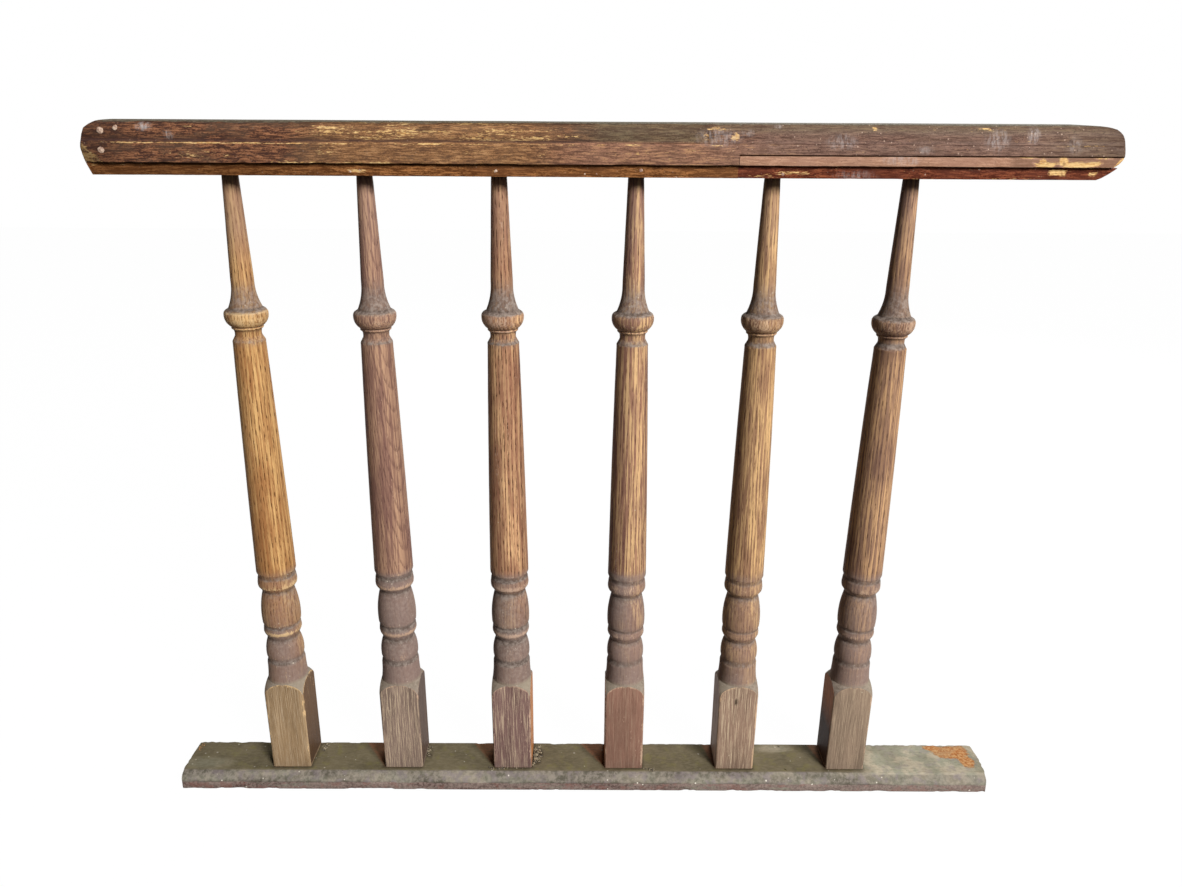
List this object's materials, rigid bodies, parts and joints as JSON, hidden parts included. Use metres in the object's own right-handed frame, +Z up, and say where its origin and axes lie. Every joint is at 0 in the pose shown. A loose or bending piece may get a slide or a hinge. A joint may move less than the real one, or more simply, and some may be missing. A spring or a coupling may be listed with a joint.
{
  "type": "stair balustrade panel",
  "caption": "Old wooden stair balustrade panel: moulded handrail over a subrail strip, turned tapering balusters on square bases, and a bevelled bottom rail.",
  "frame": {"origin": "on the underside of the bottom rail, under the middle of the row of balusters", "axes": "+X along the rails to the right as seen from the front, +Y from the front to the back, +Z up"},
  "size_m": [0.9416, 0.0691, 0.72],
  "materials": {
    "handrail_wood": "worn dark varnish, dusty along the top",
    "repair_wood": "worn thin stain",
    "subrail_wood": "worn orange-brown varnish",
    "subrail_dark_wood": "worn dark red-brown varnish",
    "baluster_light_wood": "open-grained oak, worn golden varnish",
    "baluster_wood": "open-grained oak, worn dirty varnish",
    "bottom_rail_wood": "dirty olive-grey, dark brown lower edge"
  },
  "bodies": {
    "root": {"handrail": "handrail_wood", "repair_strip": "repair_wood", "subrail_left": "subrail_wood", "subrail_right": "subrail_dark_wood", "baluster_1": "baluster_light_wood", "baluster_2": "baluster_wood", "baluster_3": "baluster_wood", "baluster_4": "baluster_wood", "baluster_5": "baluster_wood", "baluster_6": "baluster_wood", "bottom_rail": "bottom_rail_wood"}
  },
  "joints": []
}
